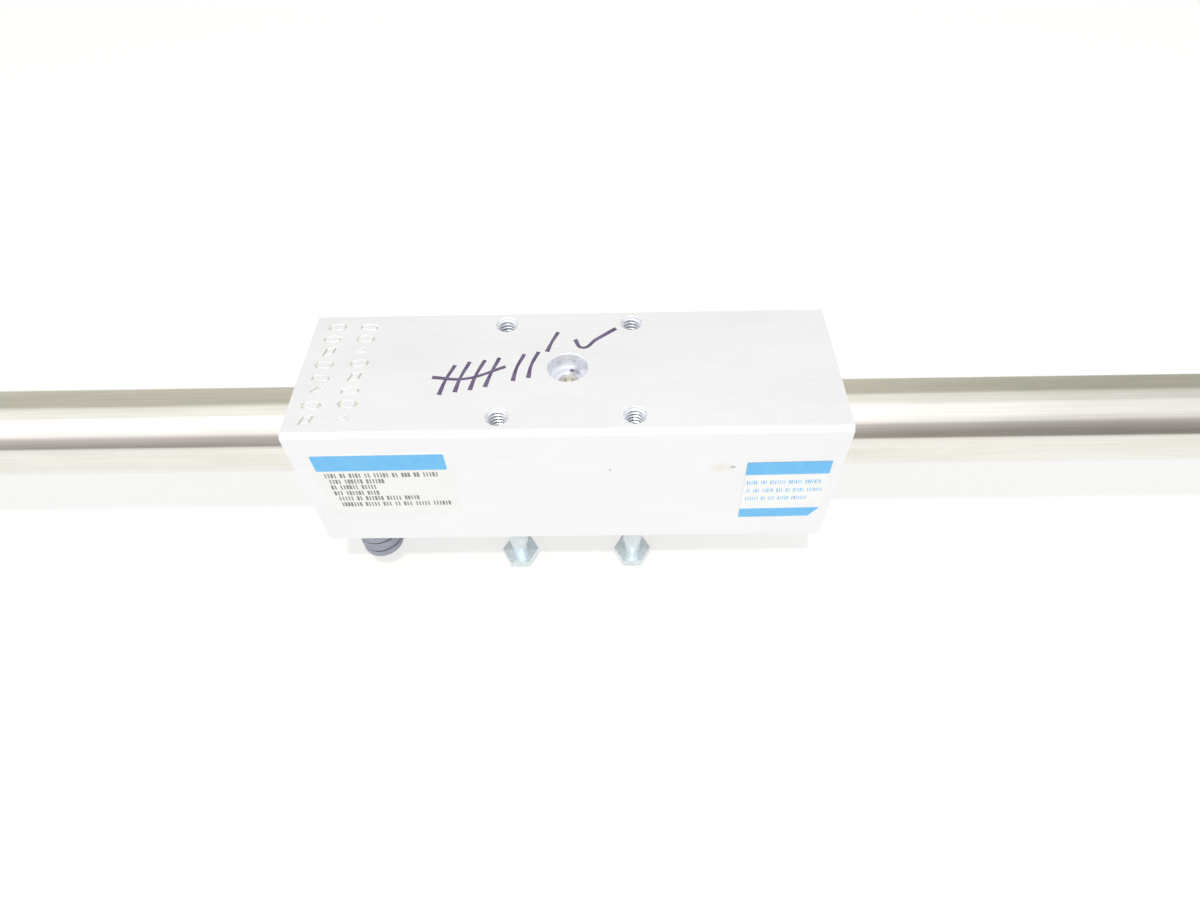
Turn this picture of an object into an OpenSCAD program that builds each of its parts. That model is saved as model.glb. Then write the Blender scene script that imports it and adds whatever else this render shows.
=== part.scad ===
// Rodless pneumatic cylinder whose carriage is held to the piston by magnets.
// X runs along the tube and Z is up. The origin is midway between the two ends,
// level with the bolt heads that the cylinder stands on. Modules draw round the
// tube's axis, right-hand end first, and placed() lifts and mirrors them.

/* [Stroke] */
// Travel of the carriage from one end stop to the other
stroke = 1352.5; // [200:0.5:2000]
// Gap between the piston and the bumper ring at the end of the stroke
stop_gap = 0.3; // [0.3:0.1:1]

/* [Fits] */
// Gap all round a piece that seats in another
seat_gap = 0.02; // [0.01:0.01:0.05]
// Radial gap of a running fit
running_gap = 0.05; // [0.02:0.01:0.08]
// Gap between pieces that pass without touching
free_gap = 0.3; // [0.3:0.05:0.5]

/* [Barrel tube] */
// Outside diameter of the tube
tube_d = 28; // [27:0.5:29]
// Wall of the tube
tube_wall = 1.5; // [1.25:0.25:1.75]
// Depth of the tube's seat in each end cap
tube_seat = 3; // [1:0.5:5]
// Distance of the rolled groove from the cap's face
roll_at = 8; // [7:0.5:9]
// Width of the rolled groove
roll_width = 3; // [2.5:0.1:3.4]
// Depth of the rolled groove
roll_depth = 0.8; // [0.5:0.1:1]
// Room left round the rolled wall in the spigot's groove
roll_room = 0.2; // [0.1:0.05:0.3]

/* [End caps] */
// Width and height of the square cap
cap_width = 40; // [38:1:50]
// Length of the square cap
cap_length = 36; // [34:1:50]
// Chamfer along the cap's four long edges
cap_edge = 2; // [0.5:0.5:3]
// Length of the spigot that the tube slides over
spigot_length = 17; // [17:0.5:24]
// Thread diameter of the mounting neck
neck_d = 30; // [28:1:32]
// Length of the mounting neck
neck_length = 20; // [16:1:30]
// Chamfer at the neck's free end
neck_edge = 1.5; // [0.5:0.5:2]
// Depth of the neck's thread down to its pitch line
neck_thread_depth = 0.5; // [0.3:0.1:0.8]
// Size of the lathe centre mark in the neck's end
centre_mark = 2; // [1:0.5:4]

/* [Air ports] */
// Thread diameter of the air port
port_d = 9.73; // [8:0.01:11]
// Length of the port's thread
port_depth = 9; // [6:0.5:10]
// Chamfer at the port's mouth
port_edge = 0.5; // [0.2:0.1:0.8]
// Diameter of the spot face round the port
port_face_d = 15; // [13:0.5:18]
// Depth of the spot face
port_face_depth = 0.4; // [0.2:0.1:1]
// Diameter of the drilling from the port to the cushion chamber
port_passage_d = 5; // [3:0.5:6]

/* [End cushions] */
// Diameter of the cushion spear
spear_d = 8; // [7:0.5:8.5]
// Length of the cushion spear outside the piston
spear_length = 14; // [8:1:20]
// Width of the annular gap round the spear in the cushion chamber
chamber_gap = 0.6; // [0.4:0.1:0.8]
// Length of the chamber past the port's drilling
chamber_past_port = 2.5; // [1:0.5:4]
// Radial thickness of the cushion seal
cushion_seal_thick = 2; // [1.5:0.1:2.2]
// Width of the cushion seal
cushion_seal_width = 2.5; // [2:0.25:4]
// Distance of the cushion seal from the spigot's face
cushion_seal_at = 2; // [1:0.5:4]
// Length of the flare behind the cushion seal's lip
lip_flare_length = 1; // [0.6:0.1:1.4]
// Radial depth of that flare
lip_flare_depth = 0.7; // [0.4:0.1:1]
// Length of the spear's tapered end
spear_taper = 4; // [2:0.5:6]
// Length of the rounded nose past the taper's middle
spear_nose = 1.5; // [1:0.25:1.75]
// Fall of the spear's radius along the taper
spear_fall = 0.4; // [0.2:0.1:0.8]
// Fall of the spear's radius to its flat end
spear_end_fall = 1.6; // [1:0.1:2]
// Diameter of the bypass drilling to the cushion screw
bypass_d = 1.5; // [1:0.1:1.6]
// Distance of the bypass drilling from the tube's axis
bypass_at = 7.7; // [7.6:0.1:7.9]
// Inside diameter of the bumper ring
bumper_bore = 18; // [17.8:0.1:18.6]
// Radial thickness of the bumper ring
bumper_thick = 2.2; // [1.4:0.1:2.4]
// Depth of the bumper ring's recess
bumper_recess = 1.5; // [1:0.1:1.8]
// Height of the bumper ring above the spigot's face
bumper_proud = 0.7; // [0.4:0.1:1.5]
// Section diameter of the sealing ring between tube and spigot
tube_seal_d = 1.6; // [1.2:0.1:1.8]
// Distance of that ring's middle from the spigot's face
tube_seal_at = 3.8; // [3.6:0.1:4.2]
// Width of that ring's groove
tube_seal_groove = 2.1; // [2:0.1:2.3]

/* [Cushion screws] */
// Thread diameter of the cushion screw
needle_d = 6; // [5.5:0.5:7]
// Length of the threaded body
needle_length = 5.8; // [5.4:0.2:6.2]
// Depth of the screw's head below the cap's side at rest
needle_sunk = 3.2; // [3:0.1:3.6]
// Gap between the threaded body and the floor of its bore
needle_floor_gap = 0.5; // [0.3:0.1:0.8]
// Length of the screw's tapered tip
needle_tip = 3; // [2:0.5:3.5]
// Diameter of the flat at the end of the tip
needle_point_d = 0.96; // [0.6:0.1:1.2]
// Diameter of the needle's seat
needle_seat_d = 3; // [2.8:0.1:3.4]
// Width of the screwdriver slot
slot_width = 0.9; // [0.6:0.1:1.2]
// Depth of the screwdriver slot
slot_depth = 1.1; // [0.8:0.1:1.4]
// Radial thickness of the screw's sealing ring
needle_seal_thick = 0.95; // [0.7:0.05:1.1]
// Width of the screw's sealing ring
needle_seal_width = 1.1; // [0.8:0.1:1.3]
// Thickness of the land between the sealing ring and the tip
needle_land = 0.9; // [0.6:0.1:1.2]
// Width of the retaining ring over the screw
keeper_thick = 0.6; // [0.4:0.1:0.8]
// Depth of the retaining ring below the cap's side
keeper_at = 0.8; // [0.5:0.1:1]
// Radial depth of the retaining ring's groove
keeper_groove = 0.4; // [0.3:0.1:0.6]
// Radial width of the retaining ring
keeper_width = 1.1; // [0.8:0.1:1.4]

/* [Mounting nuts] */
// Width across the flats of the mounting nut
nut_flats = 36; // [34:1:41]
// Height of the mounting nut
nut_height = 10; // [6:0.5:12]

/* [Magnet stacks] */
// Number of magnets in each stack
magnet_count = 4; // [2:1:4]
// Length of one magnet
magnet_length = 10; // [8:0.5:11]
// Length of one steel yoke
yoke_length = 5; // [5:0.5:6]
// Radial gap between the tube and the outer magnets
outer_magnet_gap = 0.75; // [0.5:0.05:1.2]
// Radial gap between the tube's bore and the inner magnets
inner_magnet_gap = 0.4; // [0.3:0.05:0.8]

/* [Piston] */
// Length of each piston head
head_length = 35.5; // [34:0.5:42]
// Diameter of the shaft that clamps the stack
shaft_d = 8; // [6:0.5:9]
// Length of shaft held in each head
shaft_hold = 25; // [10:1:26]
// Diameter of the spear's stub in the head
stub_d = 5; // [4:0.5:6]
// Length of the spear's stub in the head
stub_length = 7; // [4:0.5:8]
// Distance of the wear ring from the magnets
wear_at = 5; // [3:0.5:6]
// Width of the wear ring
wear_width = 8; // [6:0.5:9]
// Radial thickness of the wear ring
wear_thick = 1.25; // [1:0.25:1.75]
// Distance of the piston seal from the magnets
seal_at = 19; // [16:0.5:21]
// Width of the piston seal's groove
seal_width = 4; // [3:0.25:5]
// Radial thickness of the piston seal
seal_thick = 2.8; // [2:0.1:3]
// Thickness of the piston seal's heel behind its lips
seal_heel = 1.8; // [1.2:0.1:2]
// Slope across the top of the piston seal's outer lip
lip_slope = 0.6; // [0.3:0.1:0.9]
// Slope across the top of the piston seal's inner lip
inner_lip_slope = 0.4; // [0.2:0.1:0.6]
// Chamfer at the piston's faces
piston_edge = 0.8; // [0.4:0.1:1.2]

/* [Carriage block] */
// Length of the block along the tube
block_length = 164; // [160:1:180]
// Width and height of the square block
block_side = 53; // [52:0.5:60]
// Chamfer along the block's four long edges
block_edge = 1.5; // [0.5:0.25:2]
// Bore of the block
block_bore = 38; // [37:0.5:38.5]
// Chamfer at the mouths of the bore
bore_edge = 0.7; // [0.3:0.1:1]
// Spacing of the tapped holes along the tube
hole_pitch_x = 40; // [30:1:60]
// Spacing of the tapped holes across the tube
hole_pitch_y = 40; // [39:0.5:41]
// Diameter of the tapped holes' thread
thread_d = 6.35; // [5:0.05:7]
// Depth of the tapped holes to the start of the drill point
hole_depth = 12; // [10:0.5:13]
// Countersink at the mouth of a tapped hole
hole_edge = 0.35; // [0.2:0.05:0.6]
// Diameter of the centre counterbore
centre_d = 12; // [11:0.5:13]
// Depth of the centre counterbore
centre_depth = 5.5; // [4.5:0.1:5.6]
// Chamfer at the mouth of the centre counterbore
centre_edge = 0.3; // [0.1:0.1:0.6]

/* [Yoke screw] */
// Diameter of the recess round the screw's head
recess_d = 10; // [8:0.5:10.5]
// Diameter of the screw's head
yoke_screw_head_d = 6.6; // [6:0.2:7.4]
// Height of the screw's head
yoke_screw_head_h = 1.3; // [1:0.1:1.3]
// Depth of the head's top below the counterbore's floor
yoke_screw_sunk = 0.2; // [0.1:0.05:0.25]
// Chamfer round the top of the head
yoke_screw_edge = 0.5; // [0.2:0.1:0.6]
// Diameter of the screw's shank
yoke_screw_d = 3.5; // [3:0.25:4]
// Depth of the shank in the middle yoke
yoke_screw_hold = 3; // [2:0.5:3.5]
// Width across the flats of the screw's hexagon socket
socket_flats = 2.5; // [2:0.25:3]
// Depth of the hexagon socket
socket_depth = 1.3; // [0.8:0.1:1.5]

/* [Carriage ends] */
// Length of the spacer between the magnets and the bush
spacer_length = 21.5; // [18:0.5:23]
// Radial thickness of the spacer
spacer_thick = 2.5; // [1.5:0.25:3]
// Length of each bush
bush_length = 20; // [15:1:20]
// Length of the end ring that holds the wiper
end_ring_length = 4.5; // [4:0.25:5]
// Thickness of the end ring's inner shoulder
shoulder_thick = 1.5; // [1:0.25:2]
// Outside diameter of the wiper
wiper_d = 33; // [32.5:0.25:34]
// Length of the wiper's lip past the end ring
wiper_proud = 0.9; // [0.5:0.1:1.2]
// Distance of the wiper's nose inside its rim
wiper_shelf = 1.1; // [0.8:0.1:1.4]
// Thickness of the wiper's lip at its root
wiper_root = 0.8; // [0.5:0.1:1]
// Thickness of the wiper's lip at its edge
wiper_tip = 0.5; // [0.3:0.1:0.6]
// Thickness of the circlip
circlip_thick = 1.5; // [1.2:0.1:1.75]
// Depth of the circlip's groove
circlip_groove = 1.25; // [0.8:0.05:1.5]
// Radial width of the circlip
circlip_width = 3; // [2.5:0.1:3.2]
// Angle of the circlip's gap
circlip_gap = 34; // [24:1:44]
// Diameter of the circlip's ears
ear_d = 3.2; // [3:0.1:3.6]
// Diameter of the plier holes in the ears
ear_hole_d = 1.6; // [1.2:0.1:1.8]
// Distance of the ears' middles inside the circlip's band
ear_inset = 0.2; // [0:0.1:0.5]

/* [Carriage bolts] */
// Length of each bolt under its head
bolt_length = 25.4; // [18:0.1:40]
// Length of bolt screwed into the block
bolt_hold = 8.4; // [5:0.1:9.5]
// Width across the flats of the bolt's head
bolt_flats = 11.11; // [10:0.01:13]
// Height of the bolt's head
bolt_head = 3.97; // [3.5:0.01:5]
// Diameter of the washer face under the head
washer_face_d = 10.55; // [9:0.05:11]
// Thickness of the washer face under the head
washer_face = 0.35; // [0.2:0.05:0.6]
// Depth of the bolts' thread down to its pitch line
bolt_thread_depth = 0.41; // [0.3:0.01:0.5]
// Chamfer at the bolt's tip
bolt_tip_edge = 0.8; // [0.4:0.1:1.2]

/* [Rubber buffer] */
// Diameter of the buffer
buffer_d = 14.3; // [12:0.1:14.4]
// Height of the buffer below the block
buffer_height = 10.8; // [8:0.1:14]
// Distance of the buffer from the carriage's middle, along the tube
buffer_x = 68; // [60:1:70]
// Distance of the buffer from the tube's axis, sideways
buffer_y = 19.3; // [18.5:0.1:19.3]
// Depth of each of the two grooves round the buffer
buffer_groove = 0.9; // [0.5:0.1:1.5]
// Softening of the ribs' corners
rib_edge = 0.6; // [0.3:0.1:0.9]
// Diameter of the buffer's stem
stem_d = 4.5; // [4:0.1:5]
// Length of the buffer's stem
stem_length = 6; // [4:0.5:7]
// Length of the taper at the stem's end
stem_taper = 1; // [0.5:0.25:1.5]
// Fall of the stem's radius along that taper
stem_fall = 0.5; // [0.25:0.25:1]

/* [Broken edges] */
// Chamfer on the soft rings, the spacers and the cushion screw
ring_edge = 0.3; // [0.1:0.05:0.4]
// Chamfer on the magnets
magnet_edge = 0.4; // [0.1:0.05:0.6]
// Chamfer on the steel yokes and the wear rings
fine_edge = 0.2; // [0.1:0.05:0.3]
// Chamfer on the shaft's ends
shaft_edge = 0.5; // [0.2:0.1:1]
// Flare at both ends of a bush's bore
bush_flare = 0.6; // [0.3:0.1:1]

/* [Hidden] */
$fn = 96;
ENDS = ["left", "right"];

tube_r = tube_d / 2;
bore_r = tube_r - tube_wall;
magnet_pitch = magnet_length + yoke_length;
stack_half = (magnet_count * magnet_pitch + yoke_length) / 2;
piston_half = stack_half + head_length;

// Stations along the tube, from the middle of the part
spigot_x = stroke / 2 + piston_half + stop_gap + bumper_proud;
cap_x = spigot_x + spigot_length;
port_x = cap_x + cap_length / 2;
neck_x = cap_x + cap_length;
end_x = neck_x + neck_length;
roll_x = cap_x - roll_at;
chamber_x = port_x + port_passage_d / 2 + chamber_past_port;

// Radii round the tube's axis
spigot_r = bore_r - seat_gap;
chamber_r = spear_d / 2 + chamber_gap;
cushion_seal_bore_r = spear_d / 2 + free_gap;
cushion_seal_r = cushion_seal_bore_r + cushion_seal_thick;
bumper_r = bumper_bore / 2 + bumper_thick;
neck_pitch_r = neck_d / 2 - neck_thread_depth;
head_r = bore_r - free_gap;
block_bore_r = block_bore / 2;
fill_r = block_bore_r - seat_gap;
wiper_r = wiper_d / 2;
circlip_r = block_bore_r + circlip_groove;
drill_cone = tan(31);

// Stations along the carriage, from its middle
bush_x = stack_half + spacer_length;
end_ring_x = bush_x + bush_length;
circlip_x = end_ring_x + end_ring_length;

// Cushion screw, measured along its own axis from the cap's side
needle_r = needle_d / 2;
needle_floor = needle_sunk + needle_length + needle_floor_gap;
needle_seal_at = needle_sunk + needle_length - needle_seal_width - needle_land;

// Heights
block_half = block_side / 2;
centre_floor = block_half - centre_depth;
recess_floor = centre_floor - yoke_screw_sunk - yoke_screw_head_h;
bolt_exposed = bolt_length - bolt_hold;
bolt_pitch_r = thread_d / 2 - bolt_thread_depth;
axis_z = block_half + bolt_exposed + bolt_head;

function both_ends(name) = [for (end = ENDS) str(end, "_", name)];
function numbered(name, count) = [for (i = [1 : count]) str(name, "_", i)];
function turned_round(points) = [for (i = [len(points) - 1 : -1 : 0]) points[i]];

// ---- Helpers ----

// Lays a shape that is drawn upwards from z = 0 along the tube, starting at x
module along_tube(x = 0) {
    translate([x, 0, 0])
        rotate([0, 90, 0])
            children();
}

// Sets a shape that is drawn upwards from z = 0 at the cap's side, pointing inwards
module in_cap_side() {
    translate([port_x, -cap_width / 2, 0])
        rotate([-90, 0, 0])
            children();
}

// Lifts a shape to the tube's height and mirrors it for the left-hand end
module placed(end = "right") {
    translate([0, 0, axis_z])
        mirror([end == "left" ? 1 : 0, 0, 0])
            children();
}

// A turned shape round the tube's axis. Points are [radius, station].
module turned(points) {
    along_tube()
        rotate_extrude()
            polygon(points);
}

// A ring from station x0 to x1 with its outer corners broken
module ring(x0, x1, r_out, r_in, edge = 0) {
    turned([
        [r_in, x0],
        [r_out - edge, x0],
        [r_out, x0 + edge],
        [r_out, x1 - edge],
        [r_out - edge, x1],
        [r_in, x1]
    ]);
}

// A solid bar from station x0 to x1
module bar(x0, x1, r) {
    along_tube(x0)
        cylinder(r = r, h = x1 - x0);
}

// A square bar with chamfered long edges
module chamfered_bar(x0, x1, side, edge) {
    s = side / 2;
    c = s - edge;
    along_tube(x0)
        linear_extrude(height = x1 - x0)
            polygon([[s, c], [c, s], [-c, s], [-s, c], [-s, -c], [-c, -s], [c, -s], [s, -c]]);
}

// A hexagon with bevelled corners, standing on z = 0. Bevels are 30 degree turned ones.
module bevelled_hexagon(flats, height, bevel_bottom, bevel_top) {
    corner_r = flats / 2 / cos(30);
    drop = (corner_r - flats / 2) * tan(30);
    intersection() {
        cylinder(r = corner_r, h = height, $fn = 6);
        rotate_extrude()
            polygon([
                [0, 0],
                [bevel_bottom ? flats / 2 : corner_r, 0],
                [corner_r, bevel_bottom ? drop : 0],
                [corner_r, height - (bevel_top ? drop : 0)],
                [bevel_top ? flats / 2 : corner_r, height],
                [0, height]
            ]);
    }
}

// A tapped hole down from z = 0 with a drill point and a countersunk mouth
module tapped_hole(r) {
    mouth_r = thread_d / 2 + hole_edge;
    rotate_extrude()
        polygon([
            [0, 0],
            [mouth_r, 0],
            [r, r - mouth_r],
            [r, -hole_depth],
            [0, -hole_depth - r * drill_cone]
        ]);
}

// Places children at the four corners of the carriage's hole pattern
module at_holes() {
    for (x = [-1, 1], y = [-1, 1])
        translate([x * hole_pitch_x / 2, y * hole_pitch_y / 2, 0])
            children();
}

// ---- Barrel ----

// One line of the tube's wall from end to end, with the two rolled grooves
function wall_line(r, half) = concat(
    [[r, -half]],
    [for (s = [-1, 1], p = [
        [0, -roll_width / 2],
        [-roll_depth, -roll_width / 2 + roll_depth],
        [-roll_depth, roll_width / 2 - roll_depth],
        [0, roll_width / 2]
    ]) [r + p[0], s * roll_x + p[1]]],
    [[r, half]]
);

// Drawn stainless tube, rolled down into the groove of each spigot
module barrel_tube() {
    half = cap_x + tube_seat;
    color("silver")
        turned(concat(
            wall_line(tube_r, half),
            turned_round(wall_line(bore_r, half))
        ));
}

// Cap with its spigot, mounting neck, air port and cushion chamber
module end_cap() {
    color("gainsboro")
        difference() {
            union() {
                difference() {
                    chamfered_bar(cap_x, neck_x, cap_width, cap_edge);
                    bar(cap_x - 1, cap_x + tube_seat, tube_r + seat_gap);
                }
                bar(spigot_x, cap_x + tube_seat + 1, spigot_r);
                neck();
            }
            spigot_grooves();
            bar(spigot_x - 1, chamber_x, chamber_r);
            port_cut();
            cushion_screw_cut();
        }
}

// The thread under the nut is drawn at its pitch line, the free thread at its crests
module neck() {
    neck_r = neck_d / 2;
    free_x = neck_x + nut_height;
    difference() {
        turned([
            [0, neck_x - 1],
            [neck_pitch_r, neck_x - 1],
            [neck_pitch_r, free_x],
            [neck_r, free_x],
            [neck_r, end_x - neck_edge],
            [neck_r - neck_edge, end_x],
            [0, end_x]
        ]);
        along_tube(end_x - centre_mark)
            cylinder(r1 = 0, r2 = centre_mark, h = centre_mark);
    }
}

module spigot_grooves() {
    // for the rolled tube
    ring(
        roll_x - roll_width / 2 - roll_room,
        roll_x + roll_width / 2 + roll_room,
        bore_r + 1,
        spigot_r - roll_depth - roll_room
    );
    // for the ring that seals the tube
    ring(
        spigot_x + tube_seal_at - tube_seal_groove / 2,
        spigot_x + tube_seal_at + tube_seal_groove / 2,
        bore_r + 1,
        bore_r - tube_seal_d
    );
    // for the bumper ring
    ring(spigot_x - 1, spigot_x + bumper_recess, bumper_r + seat_gap, bumper_bore / 2 - seat_gap);
    // for the cushion seal
    bar(
        spigot_x + cushion_seal_at - seat_gap,
        spigot_x + cushion_seal_at + cushion_seal_width + seat_gap,
        cushion_seal_r + seat_gap
    );
}

// Spot face, tapped port and the drilling down to the cushion chamber
module port_cut() {
    top = cap_width / 2;
    mouth = top - port_face_depth;
    port_floor = mouth - port_edge - port_depth;
    translate([port_x, 0, 0]) {
        translate([0, 0, mouth])
            cylinder(d = port_face_d, h = port_face_depth + 1);
        translate([0, 0, mouth - port_edge])
            cylinder(d1 = port_d, d2 = port_d + 2 * port_edge, h = port_edge);
        translate([0, 0, port_floor])
            cylinder(d = port_d, h = port_depth);
        cylinder(d = port_passage_d, h = port_floor + 1);
    }
}

// Bore of the cushion screw, its keeper's groove, its seat and the bypass drilling
module cushion_screw_cut() {
    in_cap_side() {
        translate([0, 0, -1])
            cylinder(r = needle_r, h = needle_floor + 1);
        translate([0, 0, keeper_at])
            cylinder(r = needle_r + keeper_groove, h = keeper_thick);
        cylinder(d = needle_seat_d, h = cap_width / 2);
    }
    translate([0, -bypass_at, 0])
        bar(spigot_x - 1, port_x, bypass_d / 2);
}

// Sealing ring between the spigot and the tube
module tube_seal() {
    r = tube_seal_d / 2;
    color("dimgray")
        along_tube(spigot_x + tube_seal_at)
            rotate_extrude()
                translate([bore_r - r, 0])
                    circle(r = r - seat_gap);
}

// Lip ring that closes on the spear as the piston nears its end
module cushion_seal() {
    x0 = spigot_x + cushion_seal_at;
    x1 = x0 + cushion_seal_width;
    color("yellowgreen")
        turned([
            [cushion_seal_bore_r, x0],
            [cushion_seal_r - ring_edge, x0],
            [cushion_seal_r, x0 + ring_edge],
            [cushion_seal_r, x1],
            [cushion_seal_bore_r + lip_flare_depth, x1],
            [cushion_seal_bore_r, x1 - lip_flare_length]
        ]);
}

// Rubber ring that the piston's face meets
module bumper_ring() {
    color("dimgray")
        ring(spigot_x - bumper_proud, spigot_x + bumper_recess, bumper_r, bumper_bore / 2, ring_edge);
}

// Ring that keeps the cushion screw from being turned right out
module screw_keeper() {
    r_out = needle_r + keeper_groove - seat_gap;
    color("silver")
        in_cap_side()
            translate([0, 0, keeper_at])
                difference() {
                    cylinder(r = r_out, h = keeper_thick);
                    translate([0, 0, -1])
                        cylinder(r = r_out - keeper_width, h = keeper_thick + 2);
                }
}

// Hexagon nut on the mounting neck
module mounting_nut() {
    thread_r = neck_pitch_r + seat_gap;
    color("lightsteelblue")
        along_tube(neck_x)
            difference() {
                bevelled_hexagon(nut_flats, nut_height, true, true);
                translate([0, 0, -1])
                    cylinder(r = thread_r, h = nut_height + 2);
                translate([0, 0, nut_height - 1])
                    cylinder(r1 = thread_r, r2 = thread_r + 1, h = 1);
            }
}

// ---- Cushion screws ----

// Sealing ring in the screw's groove, which the screw turns in and carries along
module cushion_screw_seal() {
    r_out = needle_r - running_gap;
    color("dimgray")
        in_cap_side()
            translate([0, 0, needle_seal_at])
                difference() {
                    cylinder(r = r_out, h = needle_seal_width);
                    translate([0, 0, -1])
                        cylinder(r = r_out - needle_seal_thick, h = needle_seal_width + 2);
                }
}

// Slotted brass screw with a tapered tip
module cushion_screw() {
    r = needle_r - running_gap;
    groove_r = r - needle_seal_thick - running_gap;
    tip_r = needle_seat_d / 2 - free_gap;
    color("goldenrod")
        in_cap_side()
            translate([0, 0, needle_sunk])
                difference() {
                    rotate_extrude()
                        polygon([
                            [0, 0],
                            [r - ring_edge, 0],
                            [r, ring_edge],
                            [r, needle_length],
                            [tip_r, needle_length],
                            [needle_point_d / 2, needle_length + needle_tip],
                            [0, needle_length + needle_tip]
                        ]);
                    translate([-r - 1, -slot_width / 2, -1])
                        cube([2 * r + 2, slot_width, slot_depth + 1]);
                    translate([0, 0, needle_seal_at - needle_sunk - running_gap])
                        difference() {
                            cylinder(r = r + 1, h = needle_seal_width + 2 * running_gap);
                            translate([0, 0, -1])
                                cylinder(r = groove_r, h = needle_seal_width + 3);
                        }
                }
}

// ---- Piston ----

// Rod that clamps the inner magnets between the two heads
module piston_shaft() {
    half = stack_half + shaft_hold;
    color("silver")
        turned([
            [0, -half],
            [shaft_d / 2 - shaft_edge, -half],
            [shaft_d / 2, -half + shaft_edge],
            [shaft_d / 2, half - shaft_edge],
            [shaft_d / 2 - shaft_edge, half],
            [0, half]
        ]);
}

// Station at which magnet number i starts
function magnet_x(i) = -stack_half + yoke_length + (i - 1) * magnet_pitch;

// Station at which yoke number i starts
function yoke_x(i) = -stack_half + (i - 1) * magnet_pitch;

module inner_ring(x0, length, edge) {
    ring(x0, x0 + length, bore_r - inner_magnet_gap, shaft_d / 2 + seat_gap, edge);
}

module inner_magnet(i) {
    color("darkgray")
        inner_ring(magnet_x(i), magnet_length, magnet_edge);
}

module inner_yoke(i) {
    color("gray")
        inner_ring(yoke_x(i), yoke_length, fine_edge);
}

// Head with grooves for the wear ring and the piston seal
module piston_head() {
    x_wear = stack_half + wear_at;
    x_seal = stack_half + seal_at;
    color("gainsboro")
        difference() {
            ring(stack_half, piston_half, head_r, 0, piston_edge);
            ring(
                x_wear - seat_gap,
                x_wear + wear_width + seat_gap,
                bore_r,
                bore_r - running_gap - wear_thick - seat_gap
            );
            ring(
                x_seal - seat_gap,
                x_seal + seal_width + seat_gap,
                bore_r,
                bore_r - running_gap - seal_thick - seat_gap
            );
            bar(stack_half - 1, stack_half + shaft_hold, shaft_d / 2 + seat_gap);
            bar(piston_half - stub_length, piston_half + 1, stub_d / 2 + seat_gap);
        }
}

// Cup seal, its lips open towards the end cap
module piston_seal() {
    x0 = stack_half + seal_at;
    x1 = x0 + seal_width;
    r_out = bore_r - running_gap;
    r_in = r_out - seal_thick;
    color("yellowgreen")
        turned([
            [r_in, x0],
            [r_out - ring_edge, x0],
            [r_out, x1 - lip_slope],
            [r_out - lip_slope, x1],
            [(r_out + r_in) / 2, x0 + seal_heel],
            [r_in + inner_lip_slope, x1],
            [r_in, x1 - inner_lip_slope]
        ]);
}

module wear_ring() {
    x0 = stack_half + wear_at;
    r_out = bore_r - running_gap;
    color("saddlebrown")
        ring(x0, x0 + wear_width, r_out, r_out - wear_thick, fine_edge);
}

// Tapered spear that shuts the cushion chamber
module cushion_spear() {
    r = spear_d / 2;
    tip_x = piston_half + spear_length;
    color("gainsboro")
        turned([
            [0, piston_half - stub_length],
            [stub_d / 2, piston_half - stub_length],
            [stub_d / 2, piston_half],
            [r, piston_half],
            [r, tip_x - spear_taper],
            [r - spear_fall, tip_x - spear_nose],
            [r - spear_end_fall, tip_x],
            [0, tip_x]
        ]);
}

// ---- Carriage ----

// Square block with its bore, tapped holes above and below, and centre counterbore.
// The holes round the bolts are drawn at their thread's pitch line.
module carriage_block() {
    half = block_length / 2;
    color("whitesmoke")
        difference() {
            chamfered_bar(-half, half, block_side, block_edge);
            bar(-half - 1, half + 1, block_bore_r);
            for (s = [0, 1])
                mirror([s, 0, 0]) {
                    along_tube(half - bore_edge)
                        cylinder(
                            r1 = block_bore_r,
                            r2 = block_bore_r + bore_edge + 0.1,
                            h = bore_edge + 0.1
                        );
                    bar(circlip_x - seat_gap, circlip_x + circlip_thick + seat_gap, circlip_r + seat_gap);
                }
            at_holes() {
                translate([0, 0, block_half])
                    tapped_hole(thread_d / 2);
                mirror([0, 0, 1])
                    translate([0, 0, block_half])
                        tapped_hole(bolt_pitch_r);
            }
            centre_cut();
            translate([-buffer_x, -buffer_y, -block_half - 1])
                cylinder(d = stem_d + 2 * seat_gap, h = stem_length + 1 + seat_gap);
        }
}

// Counterbore for a locating spigot, with the yoke screw's recess in its floor
module centre_cut() {
    translate([0, 0, block_half - centre_edge])
        cylinder(d1 = centre_d, d2 = centre_d + 2 * centre_edge + 0.2, h = centre_edge + 0.1);
    translate([0, 0, centre_floor])
        cylinder(d = centre_d, h = centre_depth);
    translate([0, 0, recess_floor])
        cylinder(d = recess_d, h = centre_floor - recess_floor + 1);
    cylinder(d = yoke_screw_d + 2 * seat_gap, h = block_half - 1);
}

module outer_ring(x0, length, edge) {
    ring(x0, x0 + length, fill_r, tube_r + outer_magnet_gap, edge);
}

module outer_magnet(i) {
    color("darkgray")
        outer_ring(magnet_x(i), magnet_length, magnet_edge);
}

// The middle yoke is drilled for the screw that holds the stack in the block
module outer_yoke(i) {
    color("gray")
        difference() {
            outer_ring(yoke_x(i), yoke_length, fine_edge);
            if (2 * i == magnet_count + 2)
                translate([0, 0, fill_r - yoke_screw_hold - seat_gap])
                    cylinder(d = yoke_screw_d + 2 * seat_gap, h = block_half);
        }
}

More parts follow.
